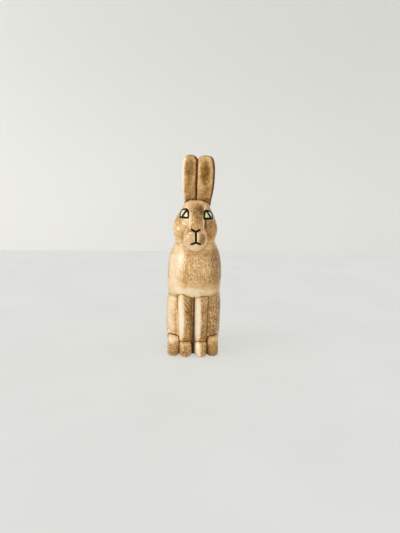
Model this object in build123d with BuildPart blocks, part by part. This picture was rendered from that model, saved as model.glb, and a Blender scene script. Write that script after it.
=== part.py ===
"""A glazed stoneware rabbit, sitting bolt upright with its ears together.

The figure faces -Y. Levels are heights above the floor, measured along its own leaning axis.
Left and right are the rabbit's own: its left side is at +X.
"""

import os

from build123d import *

# Whole figure, in millimetres
lean_angle = 1.2  # degrees, towards the rabbit's left
head_turn = -1.7  # degrees about the leaning axis, towards the rabbit's right
wall = 5.0  # cast wall of the hollow forms
overrun = 3.0  # stock below the floor and past the faces that a cut trims

# Body
body_height = 122.0
body_half_width = 28.2
chest_depth = 35.5
back_depth = 40.0
slab_thickness = 6.0
vent_radius = 5.5
vent_set_back = 12.0
neck_passage_radius = 7.0
tail_radius = 8.5
tail_level = 20.0
tail_sink = 2.0  # how far the tail's centre lies inside the line of the back

# Head, which sits on the neck. Its features keep their places on the face.
head_sink = 10.0
head_height = 46.5
head_half_width = 19.0
face_depth = 23.0
nape_depth = 16.0
cheek_below_head = 2.0
cheek_height = 39.0
cheek_half_width = 13.5
cheek_depth = 14.0
left_cheek_inset = 10.2
right_cheek_inset = 9.3
cheek_behind_face = 15.0
muzzle_below_head = 6.0
muzzle_height = 26.5
muzzle_half_width = 12.3
muzzle_depth = 21.8
muzzle_behind_face = 7.0
bridge_rise = 14.5  # foot of the bridge above the head's base
bridge_top_margin = 1.0
bridge_half_width = 7.6
nose_beyond_face = 14.3
bridge_root = 8.0  # depth of the bridge's own stock behind the face
head_base_level = body_height - head_sink
cheek_bottom_level = head_base_level - cheek_below_head
left_cheek_spread = head_half_width - left_cheek_inset
right_cheek_spread = head_half_width - right_cheek_inset
cheek_set_forward = face_depth - cheek_behind_face
muzzle_level = head_base_level - muzzle_below_head
muzzle_set_forward = face_depth - muzzle_behind_face
bridge_level = head_base_level + bridge_rise
bridge_height = head_height - bridge_rise - bridge_top_margin
nose_reach = face_depth + nose_beyond_face

# Ears, rooted in the top of the head
ear_sink = 8.5
ear_root_level = head_base_level + head_height - ear_sink
left_ear_length = 53.4
right_ear_length = 53.8
left_ear_half_width = 8.9
right_ear_half_width = 8.0
ear_thickness = 10.0
ear_set_back = 2.0
ear_backward_rake = 3.0

# Legs and feet. Their widths are shares of the body's half width, and their places are set in
# from the depth of the body that they stand against.
foreleg_spread_share = 0.2837
foreleg_half_width_share = 0.266
foreleg_depth = 8.6
foreleg_behind_chest = 12.9
foreleg_top_level = 68.0
ankle_level = 11.0
forepaw_spread_share = 0.2518
forepaw_half_width_share = 0.2163
forepaw_reach = 11.0
forepaw_behind_chest = 9.5
forepaw_height = 15.6
haunch_spread_share = 0.532
haunch_half_width_share = 0.493
haunch_behind_chest = 10.5
haunch_before_back = 7.0
haunch_bottom_level = 18.0
haunch_height = 47.0
hind_foot_spread_share = 0.7128
hind_foot_width_share = 0.4326
foreleg_spread = body_half_width * foreleg_spread_share
foreleg_half_width = body_half_width * foreleg_half_width_share
forepaw_spread = body_half_width * forepaw_spread_share
forepaw_half_width = body_half_width * forepaw_half_width_share
haunch_spread = body_half_width * haunch_spread_share
haunch_half_width = body_half_width * haunch_half_width_share
hind_foot_spread = body_half_width * hind_foot_spread_share
hind_foot_width = body_half_width * hind_foot_width_share
foreleg_set_forward = chest_depth - foreleg_behind_chest
forepaw_set_forward = chest_depth - forepaw_behind_chest
haunch_front = chest_depth - haunch_behind_chest
haunch_reach = (haunch_front + back_depth - haunch_before_back) / 2
haunch_set_back = haunch_reach - haunch_front
hind_foot_length = 50.0
hind_foot_set_forward = 7.5
hind_foot_height = 20.0

# Eyes and painted lines
glaze_pad = 0.5  # thickness of the pale eye glaze
glaze_line = 0.8  # thickness of the black lines at the eyes and mouth
line_width = 1.3
pupil_width = 2.0
eye_inset = 2.1  # outer corner of the eye, in from the side of the head
eye_rise = 27.9  # flat bottom of the eye above the head's base
eye_height = 9.2
nose_rise = 15.6  # point of the nose above the head's base
nose_line_half_width = 4.7
nose_line_rise = 2.4
mouth_rise = 5.6
mouth_half_width = 5.1
mouth_drop = 2.1
eye_inner = bridge_half_width
eye_outer = head_half_width - eye_inset
eye_bottom_level = head_base_level + eye_rise
nose_line_level = head_base_level + nose_rise
mouth_level = head_base_level + mouth_rise
half_turn = 180
quarter_turn = 90

# Sections of each form, from the bottom up. Shares are of the form's height and of its
# half width, its depth to the front and its depth to the back.
chest_shares = (
    (0.496, 0.87, 0.84, 0.93),
    (0.512, 0.925, 0.90, 0.95),
    (0.533, 0.955, 0.945, 0.965),
    (0.574, 0.98, 0.98, 0.975),
    (0.656, 1.0, 1.0, 0.94),
    (0.754, 0.979, 0.975, 0.84),
    (0.836, 0.918, 0.887, 0.71),
    (0.910, 0.809, 0.732, 0.575),
    (0.967, 0.656, 0.549, 0.46),
    (1.0, 0.496, 0.394, 0.36),
)
loin_shares = (
    (-0.025, 0.87, 0.68, 0.91),
    (0.02, 0.90, 0.69, 0.94),
    (0.10, 0.925, 0.70, 0.985),
    (0.25, 0.94, 0.72, 1.0),
    (0.41, 0.94, 0.73, 0.985),
    (0.574, 0.92, 0.73, 0.93),
)
skull_shares = (
    (0.0, 0.79, 0.65, 0.75),
    (0.17, 0.95, 0.87, 0.91),
    (0.41, 1.0, 1.0, 1.0),
    (0.62, 0.95, 0.97, 1.0),
    (0.73, 0.87, 0.88, 0.93),
    (0.84, 0.76, 0.72, 0.80),
    (0.93, 0.64, 0.53, 0.65),
    (0.975, 0.48, 0.38, 0.50),
    (1.0, 0.28, 0.25, 0.35),
)
# As above, then how far the section's own centre stands forward. The pad goes up behind the eye.
cheek_shares = (
    (0.0, 0.42, 0.42, 0.42, 1.0),
    (0.08, 0.66, 0.66, 0.66, 1.0),
    (0.215, 0.86, 0.87, 0.87, 1.0),
    (0.295, 0.92, 0.93, 0.93, 1.0),
    (0.436, 1.0, 1.0, 1.0, 1.0),
    (0.538, 0.985, 0.93, 0.95, 0.90),
    (0.692, 0.865, 0.62, 0.70, 0.55),
    (0.856, 0.66, 0.34, 0.50, 0.10),
    (1.0, 0.24, 0.15, 0.20, 0.0),
)
muzzle_shares = (
    (0.0, 0.25, 0.40, 0.40),
    (0.09, 0.58, 0.72, 0.60),
    (0.25, 0.90, 0.95, 0.60),
    (0.45, 1.0, 1.0, 0.60),
    (0.67, 0.98, 0.99, 0.60),
    (0.87, 0.82, 0.93, 0.60),
    (1.0, 0.60, 0.80, 0.60),
)
# Level, half width and how far its front stands forward of the axis, as a share of the nose's reach
bridge_shares = (
    (0.0, 0.72, 0.925),
    (0.058, 0.84, 0.982),
    (0.145, 0.90, 0.975),
    (0.274, 0.95, 0.91),
    (0.50, 0.96, 0.78),
    (0.69, 0.97, 0.63),
    (0.82, 1.03, 0.475),
    (0.95, 1.05, 0.31),
    (1.0, 1.05, 0.22),
)
# Level, half width, thickness, and how far the ear's own axis is from the middle plane, as a share
# of its half width
ear_shares = (
    (0.0, 0.78, 0.90, 0.76),
    (0.13, 0.83, 0.92, 0.81),
    (0.28, 0.91, 0.98, 0.89),
    (0.46, 0.98, 1.0, 0.96),
    (0.67, 1.0, 0.96, 0.98),
    (0.83, 0.97, 0.86, 0.95),
    (0.92, 0.86, 0.70, 0.86),
    (0.975, 0.62, 0.48, 0.80),
    (1.0, 0.32, 0.22, 0.80),
)
foreleg_shares = (
    (0.0, 0.83, 0.82, 0.70),
    (0.29, 0.87, 0.90, 0.70),
    (0.64, 0.96, 0.965, 0.70),
    (0.93, 1.0, 1.0, 0.70),
    (1.0, 0.92, 0.93, 0.70),
)
forepaw_shares = (
    (-0.14, 0.83, 0.76, 0.50),
    (0.0, 0.88, 0.80, 0.50),
    (0.17, 0.98, 0.96, 0.50),
    (0.46, 1.0, 1.0, 0.50),
    (0.74, 0.93, 0.86, 0.50),
    (0.91, 0.76, 0.64, 0.50),
    (1.0, 0.54, 0.44, 0.45),
)
haunch_shares = (
    (-0.21, 0.86, 0.84, 0.30),
    (-0.12, 0.94, 0.90, 0.45),
    (0.0, 0.98, 0.94, 0.62),
    (0.12, 0.995, 0.975, 0.82),
    (0.42, 1.0, 1.0, 1.08),
    (0.72, 0.98, 0.96, 1.02),
    (0.88, 0.90, 0.88, 0.84),
    (1.0, 0.72, 0.70, 0.52),
)
# Level, width and length of the hind foot's section
hind_foot_shares = (
    (-0.12, 0.84, 0.93),
    (0.0, 0.88, 0.95),
    (0.14, 0.98, 1.0),
    (0.46, 1.0, 1.0),
    (0.73, 0.92, 0.93),
    (0.91, 0.72, 0.83),
    (1.0, 0.46, 0.72),
)

# The body leans, its front legs stand plumb, and the head is turned on the leaning axis.
# The face is drawn on a plane seen from the front, and the ears meet at the middle plane.
stance = Plane.XY.rotated((0, lean_angle, 0))
gaze = stance.rotated((0, 0, head_turn))
plumb = Plane.XY
face_front = Plane(origin=gaze.origin, x_dir=gaze.x_dir, z_dir=-gaze.y_dir)
middle = Plane(origin=gaze.origin, x_dir=gaze.y_dir, z_dir=gaze.x_dir)


def oval(plane, level, half_width, front, back, centre_x=0.0, centre_y=0.0):
    """An egg-shaped section: a half-ellipse to the front and another to the back."""
    with BuildSketch(plane.offset(level)) as section:
        with BuildLine():
            EllipticalCenterArc((centre_x, centre_y), half_width, front, half_turn, arc_size=half_turn)
            EllipticalCenterArc((centre_x, centre_y), half_width, back, 0, arc_size=half_turn)
        make_face()
    return section.sketch


def ovals(plane, shares, base, height, sizes, centre_x=0.0, centre_y=0.0, inset=0.0):
    """The sections of one form, each drawn in by the inset, such as a wall."""
    half_width, front, back = sizes
    return [
        oval(
            plane,
            base + height * up,
            half_width * wide - inset,
            front * fore - inset,
            back * aft - inset,
            centre_x,
            centre_y,
        )
        for up, wide, fore, aft in shares
    ]


def chest(inset=0.0, shares=chest_shares):
    """The barrel of the chest and shoulders, up to the neck."""
    sizes = (body_half_width, chest_depth, back_depth)
    return ovals(stance, shares, 0.0, body_height, sizes, inset=inset)


def loin(inset=0.0, shares=loin_shares):
    """The lower body, which the legs stand against."""
    sizes = (body_half_width, chest_depth, back_depth)
    return ovals(stance, shares, 0.0, body_height, sizes, inset=inset)


def skull(inset=0.0, shares=skull_shares):
    """The head without cheeks, muzzle and bridge. A negative inset gives a skin over it."""
    sizes = (head_half_width, face_depth, nape_depth)
    return ovals(gaze, shares, head_base_level, head_height, sizes, inset=inset)


def cheek(side):
    """A round pad beside the muzzle, which runs up past the corner of the eye."""
    spread = left_cheek_spread if side > 0 else right_cheek_spread
    return [
        oval(
            gaze,
            cheek_bottom_level + cheek_height * up,
            cheek_half_width * wide,
            cheek_depth * fore,
            cheek_depth * aft,
            side * spread,
            -cheek_set_forward * forward,
        )
        for up, wide, fore, aft, forward in cheek_shares
    ]


def snout(inset=0.0):
    """The rounded muzzle, chin included."""
    sizes = (muzzle_half_width, muzzle_depth, muzzle_depth)
    place = (0.0, -muzzle_set_forward)
    return ovals(gaze, muzzle_shares, muzzle_level, muzzle_height, sizes, *place, inset)


def ridge(inset=0.0):
    """The raised band from the forehead down to the nose."""
    return [
        oval(
            gaze,
            bridge_level + bridge_height * up,
            bridge_half_width * wide - inset,
            bridge_root - inset,
            bridge_root,
            0.0,
            bridge_root - nose_reach * reach,
        )
        for up, wide, reach in bridge_shares
    ]


def form(*lofted):
    """One solid from the given lists of sections."""
    with BuildPart() as solid:
        for sections in lofted:
            loft(sections)
    return solid.part


def seated(solid, *neighbours):
    """The solid, cut away where its neighbours already are, so that they meet face to face.

    Scraps that a cut leaves loose, such as behind a leg, are dropped.
    """
    with BuildPart() as piece:
        add(solid)
        for neighbour in neighbours:
            add(neighbour, mode=Mode.SUBTRACT)
    return piece.part.solids().sort_by(SortBy.VOLUME)[-1]


def on_floor(solid):
    """The solid with its stock below the floor ground off flat."""
    with BuildPart() as ground:
        add(solid)
        split(bisect_by=Plane.XY, keep=Keep.TOP)
    return ground.part


def finish(part, name):
    """Labels a finished piece and writes its STEP file."""
    part.label = name
    export_step(part, f"parts/{name}.step")


os.makedirs("parts", exist_ok=True)

# Solid forms, which the pieces are seated against
body_form = form(loin(), chest())
skull_form = form(skull())

# Hollow body: the two cavities meet inside, and the bottom is open for the slab
with BuildPart() as torso_shell:
    add(body_form)
    loft(loin(wall), mode=Mode.SUBTRACT)
    loft(chest(wall, chest_shares[2:-1]), mode=Mode.SUBTRACT)
    with BuildSketch(stance.offset(body_height * chest_shares[-3][0])):
        Circle(neck_passage_radius)
    extrude(amount=body_height, mode=Mode.SUBTRACT)
    split(bisect_by=Plane.XY, keep=Keep.TOP)
finish(torso_shell.part, "torso_shell")

# Slab that closes the bottom, with the vent that every hollow casting needs in the kiln
with BuildPart() as base_slab:
    loft(loin(wall, loin_shares[:3]))
    split(bisect_by=Plane.XY, keep=Keep.TOP)
    split(bisect_by=Plane.XY.offset(slab_thickness), keep=Keep.BOTTOM)
    with Locations((0, vent_set_back)):
        Cylinder(vent_radius, 2 * (slab_thickness + overrun), mode=Mode.SUBTRACT)
finish(base_slab.part, "base_slab")

with BuildPart() as head_shell:
    add(skull_form)
    add(body_form, mode=Mode.SUBTRACT)
    loft(skull(wall, skull_shares[1:-2]), mode=Mode.SUBTRACT)
    with BuildSketch(stance.offset(head_base_level - overrun)):
        Circle(neck_passage_radius)
    extrude(amount=head_height / 2, mode=Mode.SUBTRACT)
finish(head_shell.part, "head_shell")

muzzle = seated(form(snout()), body_form, skull_form)
finish(muzzle, "muzzle")


def ear_piece(side, length, half_width):
    """One ear, flat against the other along the figure's middle plane."""
    sections = [
        oval(
            gaze,
            ear_root_level + length * up,
            half_width * wide,
            ear_thickness / 2 * thick,
            ear_thickness / 2 * thick,
            side * half_width * spread,
            ear_set_back + ear_backward_rake * up,
        )
        for up, wide, thick, spread in ear_shares
    ]
    with BuildPart() as ear:
        loft(sections)
        split(bisect_by=middle, keep=Keep.TOP if side > 0 else Keep.BOTTOM)
        add(skull_form, mode=Mode.SUBTRACT)
    return ear.part


def forepaw_form(side):
    """A front paw, rounded at the toe and flat on the floor."""
    sizes = (forepaw_half_width, forepaw_reach, forepaw_reach)
    place = (side * forepaw_spread, -forepaw_set_forward)
    return on_floor(form(ovals(plumb, forepaw_shares, 0.0, forepaw_height, sizes, *place)))


def foreleg_form(side):
    """A straight front leg, from under the chest down into its paw."""
    sizes = (foreleg_half_width, foreleg_depth, foreleg_depth)
    place = (side * foreleg_spread, -foreleg_set_forward)
    rise = foreleg_top_level - ankle_level
    return form(ovals(plumb, foreleg_shares, ankle_level, rise, sizes, *place))


def hind_foot_form(side):
    """A long hind foot, lying under the haunch with its toe beside the front paw."""
    sections = []
    for up, wide, long in hind_foot_shares:
        with BuildSketch(stance.offset(hind_foot_height * up)) as section:
            with Locations((side * hind_foot_spread, -hind_foot_set_forward)):
                SlotOverall(hind_foot_length * long, hind_foot_width * wide, rotation=90)
        sections.append(section.sketch)
    return on_floor(form(sections))


def haunch_form(side):
    """The folded hind leg: a thigh pad on the flank, which ends on the hind foot."""
    sizes = (haunch_half_width, haunch_reach, haunch_reach)
    place = (side * haunch_spread, haunch_set_back)
    return form(ovals(stance, haunch_shares, haunch_bottom_level, haunch_height, sizes, *place))


ears = {"left": (left_ear_length, left_ear_half_width), "right": (right_ear_length, right_ear_half_width)}
cheeks = {}
for name, side in (("left", 1), ("right", -1)):
    cheeks[name] = seated(form(cheek(side)), body_form, skull_form, muzzle)
    finish(cheeks[name], f"{name}_cheek")
    finish(ear_piece(side, *ears[name]), f"{name}_ear")
    paw = seated(forepaw_form(side), body_form)
    finish(paw, f"{name}_forepaw")
    leg = seated(foreleg_form(side), body_form, paw)
    finish(leg, f"{name}_foreleg")
    foot = seated(hind_foot_form(side), body_form, paw, leg)
    finish(foot, f"{name}_hind_foot")
    finish(seated(haunch_form(side), body_form, paw, leg, foot), f"{name}_haunch")

nose_bridge = seated(form(ridge()), skull_form, muzzle, *cheeks.values())
finish(nose_bridge, "nose_bridge")

with BuildPart() as tail:
    with Locations(stance * Pos(0, back_depth - tail_sink, tail_level)):
        Sphere(tail_radius)
    add(body_form, mode=Mode.SUBTRACT)
finish(tail.part, "tail")

# Fired-on markings: pads and brush lines of thick glaze, cut from skins that stand on the face
pad_skin = form(skull(-glaze_pad))
line_skin = form(skull(-glaze_line))
snout_skin = form(snout(-glaze_line), ridge(-glaze_line))


def eye_outline(side, inset=0.0):
    """A quarter-oval eye, upright at the nose and flat at the bottom, drawn in by the inset."""
    corner = Vector(side * (eye_inner + inset), eye_bottom_level + inset)
    width = eye_outer - eye_inner - 2 * inset
    height = eye_height - 2 * inset
    start = 0 if side > 0 else quarter_turn
    with BuildSketch(face_front) as eye:
        with BuildLine():
            EllipticalCenterArc(corner, width, height, start, arc_size=quarter_turn)
            Line(corner, corner + Vector(side * width, 0))
            Line(corner, corner + Vector(0, height))
        make_face()
    return eye.sketch


def strokes(width, *paths):
    """Straight brush strokes of one width, drawn on the face plane."""
    with BuildSketch(face_front) as drawn:
        for path in paths:
            with BuildLine():
                Polyline(*path)
            trace(line_width=width)
    return drawn.sketch


def marking(skin, profile, *beneath):
    """A fired-on mark: the skin in front of the face within the profile, less what is beneath."""
    with BuildPart() as mark:
        extrude(profile, amount=face_depth + nose_reach)
        add(skin, mode=Mode.INTERSECT)
    return seated(mark.part, *beneath)


for name, side in (("left", 1), ("right", -1)):
    almond = eye_outline(side)
    white = eye_outline(side, line_width)
    slant = strokes(
        pupil_width,
        (
            (side * (eye_inner + line_width), eye_bottom_level + eye_height),
            (side * (eye_outer - line_width), eye_bottom_level + line_width / 2),
        ),
    )
    finish(marking(pad_skin, white, skull_form), f"{name}_eye_white")
    finish(marking(line_skin, almond - white, skull_form, cheeks[name]), f"{name}_eye_outline")
    finish(marking(line_skin, slant & white, pad_skin), f"{name}_pupil")

nose_low = (0.0, nose_line_level)
mouth_top = (0.0, mouth_level)
nose_marks = strokes(
    line_width,
    (
        (-nose_line_half_width, nose_line_level + nose_line_rise),
        nose_low,
        (nose_line_half_width, nose_line_level + nose_line_rise),
    ),
    (nose_low, mouth_top),
)
mouth_marks = strokes(
    line_width,
    (
        (-mouth_half_width, mouth_level - mouth_drop),
        mouth_top,
        (mouth_half_width, mouth_level - mouth_drop),
    ),
)
nose_line = marking(snout_skin, nose_marks, body_form, skull_form, muzzle, nose_bridge)
finish(nose_line, "nose_line")
finish(marking(snout_skin, mouth_marks, body_form, skull_form, muzzle, nose_line), "mouth_line")
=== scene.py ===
"""Looks of a glazed stoneware rabbit, sitting upright with its ears together.

Lengths are in millimetres until a mesh is made. The rabbit faces -Y and its left side is at +X.
"""

import math

import bpy
import numpy as np
from mathutils import Matrix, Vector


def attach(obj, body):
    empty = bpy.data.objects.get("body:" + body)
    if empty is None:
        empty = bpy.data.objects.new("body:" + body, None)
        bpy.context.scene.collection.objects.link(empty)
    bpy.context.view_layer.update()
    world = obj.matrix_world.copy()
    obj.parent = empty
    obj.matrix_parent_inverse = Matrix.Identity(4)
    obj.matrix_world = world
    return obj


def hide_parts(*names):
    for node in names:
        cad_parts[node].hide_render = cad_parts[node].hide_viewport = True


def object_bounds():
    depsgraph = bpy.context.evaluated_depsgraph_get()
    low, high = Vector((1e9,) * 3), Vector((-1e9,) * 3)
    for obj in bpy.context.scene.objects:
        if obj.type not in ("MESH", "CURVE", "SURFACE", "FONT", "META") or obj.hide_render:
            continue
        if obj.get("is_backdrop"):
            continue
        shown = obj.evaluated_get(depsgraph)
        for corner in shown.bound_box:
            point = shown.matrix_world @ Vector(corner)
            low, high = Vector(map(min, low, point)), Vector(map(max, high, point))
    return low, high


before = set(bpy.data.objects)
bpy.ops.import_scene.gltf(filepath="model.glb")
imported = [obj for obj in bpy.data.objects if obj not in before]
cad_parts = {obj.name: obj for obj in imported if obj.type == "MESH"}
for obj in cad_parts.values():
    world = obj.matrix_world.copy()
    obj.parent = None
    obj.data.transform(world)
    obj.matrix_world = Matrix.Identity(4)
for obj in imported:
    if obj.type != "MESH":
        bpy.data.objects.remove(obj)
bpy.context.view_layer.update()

MM = 0.001
COARSE = 1.0

# Axes: the body leans, the head turns on the leaning axis, the front legs stand plumb

LEAN = math.radians(1.2)
HEAD_TURN = math.radians(-1.7)
PLUMB = np.eye(3)
c, s = math.cos(LEAN), math.sin(LEAN)
STANCE = np.array([[c, 0, -s], [0, 1, 0], [s, 0, c]])
c, s = math.cos(HEAD_TURN), math.sin(HEAD_TURN)
GAZE = np.array([[c, s, 0], [-s, c, 0], [0, 0, 1]]) @ STANCE

# Sections of the clay forms from the lowest up: the level as a share of the height, then half width
# and depth, in front and behind where they differ, as shares of the form's own. The last column of
# the cheek tells how far its centre goes back, of the bridge how far its centre line stands
# forward, and of the ear how far its centre keeps from the middle.

BODY = (122.0, 28.2, 35.5, 40.0)
CHEST = (
    (0.496, 0.87, 0.84, 0.93),
    (0.512, 0.925, 0.9, 0.95),
    (0.533, 0.955, 0.945, 0.965),
    (0.574, 0.98, 0.98, 0.975),
    (0.656, 1.0, 1.0, 0.94),
    (0.754, 0.979, 0.975, 0.84),
    (0.836, 0.918, 0.887, 0.71),
    (0.91, 0.809, 0.732, 0.575),
    (0.967, 0.656, 0.549, 0.46),
    (1.0, 0.496, 0.394, 0.36),
)
LOIN = (
    (-0.025, 0.87, 0.68, 0.91),
    (0.02, 0.9, 0.69, 0.94),
    (0.1, 0.925, 0.7, 0.985),
    (0.25, 0.94, 0.72, 1.0),
    (0.41, 0.94, 0.73, 0.985),
    (0.574, 0.92, 0.73, 0.93),
)
SKULL = (
    (0.0, 0.79, 0.65, 0.75),
    (0.17, 0.95, 0.87, 0.91),
    (0.41, 1.0, 1.0, 1.0),
    (0.62, 0.95, 0.97, 1.0),
    (0.73, 0.87, 0.88, 0.93),
    (0.84, 0.76, 0.72, 0.8),
    (0.93, 0.64, 0.53, 0.65),
    (0.975, 0.48, 0.38, 0.5),
    (1.0, 0.28, 0.25, 0.35),
)
CHEEK = (
    (0.0, 0.42, 0.42, 0.42, 1.0),
    (0.08, 0.66, 0.66, 0.66, 1.0),
    (0.215, 0.86, 0.87, 0.87, 1.0),
    (0.295, 0.92, 0.93, 0.93, 1.0),
    (0.436, 1.0, 1.0, 1.0, 1.0),
    (0.538, 0.985, 0.93, 0.95, 0.9),
    (0.692, 0.865, 0.62, 0.7, 0.55),
    (0.856, 0.66, 0.34, 0.5, 0.1),
    (1.0, 0.24, 0.15, 0.2, 0.0),
)
MUZZLE = (
    (0.0, 0.25, 0.4, 0.4),
    (0.09, 0.58, 0.72, 0.6),
    (0.25, 0.9, 0.95, 0.6),
    (0.45, 1.0, 1.0, 0.6),
    (0.67, 0.98, 0.99, 0.6),
    (0.87, 0.82, 0.93, 0.6),
    (1.0, 0.6, 0.8, 0.6),
)
BRIDGE = (
    (0.0, 0.72, 0.925),
    (0.058, 0.84, 0.982),
    (0.145, 0.9, 0.975),
    (0.274, 0.93, 0.91),
    (0.5, 0.9, 0.78),
    (0.69, 0.91, 0.63),
    (0.82, 1.0, 0.475),
    (0.95, 1.05, 0.31),
    (1.0, 1.05, 0.22),
)
EAR = (
    (0.0, 0.78, 0.9, 0.76),
    (0.13, 0.83, 0.92, 0.81),
    (0.28, 0.91, 0.98, 0.89),
    (0.46, 0.98, 1.0, 0.96),
    (0.67, 1.0, 0.96, 0.98),
    (0.83, 0.97, 0.86, 0.95),
    (0.92, 0.89, 0.72, 0.9),
    (0.955, 0.76, 0.57, 0.92),
    (0.975, 0.6, 0.46, 0.94),
    (0.99, 0.41, 0.33, 0.94),
    (1.0, 0.22, 0.2, 0.92),
)
FORELEG = (
    (0.0, 0.83, 0.82, 0.7),
    (0.29, 0.87, 0.9, 0.7),
    (0.64, 0.96, 0.965, 0.7),
    (0.82, 1.0, 1.0, 0.7),
    (0.9, 0.94, 0.96, 0.7),
    (0.95, 0.8, 0.87, 0.7),
    (1.0, 0.55, 0.7, 0.7),
)
FOREPAW = (
    (-0.14, 0.83, 0.76, 0.5),
    (0.0, 0.88, 0.8, 0.5),
    (0.17, 0.98, 0.96, 0.5),
    (0.46, 1.0, 1.0, 0.5),
    (0.74, 0.95, 0.86, 0.5),
    (0.91, 0.82, 0.64, 0.5),
    (1.0, 0.6, 0.44, 0.45),
)
HAUNCH = (
    (-0.21, 0.86, 0.84, 0.3),
    (-0.12, 0.94, 0.9, 0.45),
    (0.0, 0.98, 0.94, 0.62),
    (0.12, 0.995, 0.975, 0.82),
    (0.42, 1.0, 1.0, 1.08),
    (0.72, 0.98, 0.96, 1.02),
    (0.88, 0.9, 0.88, 0.84),
    (1.0, 0.72, 0.7, 0.52),
)
HIND_FOOT = (
    (-0.12, 0.84, 0.93),
    (0.0, 0.88, 0.95),
    (0.14, 0.98, 1.0),
    (0.46, 1.0, 1.0),
    (0.73, 0.95, 0.93),
    (0.91, 0.82, 0.84),
    (1.0, 0.6, 0.73),
)


def ovals(axes, base, height, table, sizes, centre=(0.0, 0.0), cap=1.5):
    """A form of oval sections: level, half width, front, back and centre, all in millimetres."""
    rows = np.array(table, float)
    plan = np.zeros((len(rows), 6))
    plan[:, 0] = base + height * rows[:, 0]
    plan[:, 1:4] = rows[:, 1:4] * sizes
    plan[:, 4:6] = centre
    return {"axes": axes, "plan": plan, "cap": cap}


def cheek_form(side, spread):
    """A cheek pad, whose centre goes back towards its top."""
    forward = 8.0
    form = ovals(GAZE, 110.0, 39.0, CHEEK, (13.5, 14.0, 14.0), cap=2.0)
    form["plan"][:, 4] = side * spread
    form["plan"][:, 5] = -forward * np.array(CHEEK)[:, 4]
    return form


def bridge_form():
    """The raised band from the forehead to the nose, whose sections are nearly square."""
    base, height, half_width, depth, shift, forward = 126.5, 31.0, 7.6, 8.0, 0.4, 37.3
    rows = np.array(BRIDGE)
    plan = np.zeros((len(rows), 6))
    plan[:, 0] = base + height * rows[:, 0]
    plan[:, 1] = half_width * rows[:, 1]
    plan[:, 2:4] = depth
    plan[:, 4] = shift * np.sin(np.pi * rows[:, 0])
    plan[:, 5] = depth - forward * rows[:, 2]
    return {"axes": GAZE, "plan": plan, "cap": 1.5, "power": 3.4}


def ear_form(side, length, half_width):
    """One ear: flat ovals, whose centre keeps half an ear from the middle and rakes backwards."""
    base, thickness, start, rake = 150.0, 5.0, 2.0, 3.0
    rows = np.array(EAR)
    plan = np.zeros((len(rows), 6))
    plan[:, 0] = base + length * rows[:, 0]
    plan[:, 1] = half_width * rows[:, 1]
    plan[:, 2:4] = thickness * rows[:, 2:3]
    plan[:, 4] = side * half_width * rows[:, 3]
    plan[:, 5] = start + rake * rows[:, 0]
    return {"axes": GAZE, "plan": plan, "cap": 1.2}


def ball_form(axes, centre, radii):
    """An ellipsoid."""
    return {"axes": axes, "centre": np.array(centre), "radii": np.array(radii)}


def hind_foot_form(side):
    """A long foot: sections with straight sides and round ends, dying away to its top."""
    height, half_width, half_length, spread, back = 20.0, 6.1, 25.0, 20.1, -7.5
    rows = np.array(HIND_FOOT)
    plan = np.zeros((len(rows), 6))
    plan[:, 0] = height * rows[:, 0]
    plan[:, 1] = half_width * rows[:, 1]
    plan[:, 2:4] = half_length * rows[:, 2:3]
    plan[:, 4:6] = side * spread, back
    return {"axes": STANCE, "plan": plan, "cap": 1.5, "slot": True}


def foreleg_form(side):
    return ovals(PLUMB, 11.0, 57.0, FORELEG, (7.5, 8.6, 8.6), (side * 8.0, -22.6))


def forepaw_form(side, spread, half_width):
    """A front paw, rounded at the toe."""
    return ovals(PLUMB, 0.0, 15.6, FOREPAW, (half_width, 11.0, 11.0), (side * spread, -26.0))


def haunch_form(side, height):
    return ovals(STANCE, 18.0, height, HAUNCH, (13.9, 29.0, 29.0), (side * 15.0, 4.0), cap=3.0)


TAIL_CENTRE = (0.0, 38.0, 20.0)
TAIL_RADIUS = 8.5

# Each form, the reach of the glaze that rounds the crease where it joins those before it, and how
# dark the crease is made: glaze pooled in it, and partly painted shade
FORMS = {
    "loin": (ovals(STANCE, 0.0, BODY[0], LOIN, BODY[1:]), 0.1, 0.1),
    "chest": (ovals(STANCE, 0.0, BODY[0], CHEST, BODY[1:], cap=3.0), 4.0, 0.1),
    "left_haunch": (haunch_form(1, 49.0), 2.2, 0.5),
    "right_haunch": (haunch_form(-1, 44.5), 2.2, 0.5),
    "left_hind_foot": (hind_foot_form(1), 0.9, 1.3),
    "right_hind_foot": (hind_foot_form(-1), 0.9, 1.3),
    "left_foreleg": (foreleg_form(1), 0.8, 1.0),
    "right_foreleg": (foreleg_form(-1), 0.8, 1.0),
    "left_forepaw": (forepaw_form(1, 8.1, 6.7), 0.8, 1.2),
    "right_forepaw": (forepaw_form(-1, 7.5, 6.8), 0.8, 1.2),
    "tail": (ball_form(STANCE, TAIL_CENTRE, [TAIL_RADIUS] * 3), 2.5, 0.6),
    "skull": (ovals(GAZE, 112.0, 45.7, SKULL, (19.0, 23.0, 16.0), cap=3.0), 3.0, 0.1),
    "left_cheek": (cheek_form(1, 8.8), 2.6, 0.25),
    "right_cheek": (cheek_form(-1, 9.7), 2.6, 0.25),
    "muzzle": (ovals(GAZE, 106.0, 26.5, MUZZLE, (12.3, 21.8, 21.8), (0.0, -16.0)), 1.0, 0.6),
    "left_lobe": (ball_form(GAZE, (5.6, -31.2, 120.3), (5.2, 5.6, 6.2)), 1.6, 0.2),
    "right_lobe": (ball_form(GAZE, (-5.2, -31.2, 120.3), (5.2, 5.6, 6.2)), 1.6, 0.2),
    "bridge": (bridge_form(), 0.8, 0.3),
    "left_ear": (ear_form(1, 53.4, 9.3), 0.6, 1.6),
    "right_ear": (ear_form(-1, 53.8, 8.0), 0.6, 1.6),
}
FLOOR_ROUNDING = 2.0
# The nape runs into the back on a wider round than the throat has
NAPE_REACH = 9.0


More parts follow.
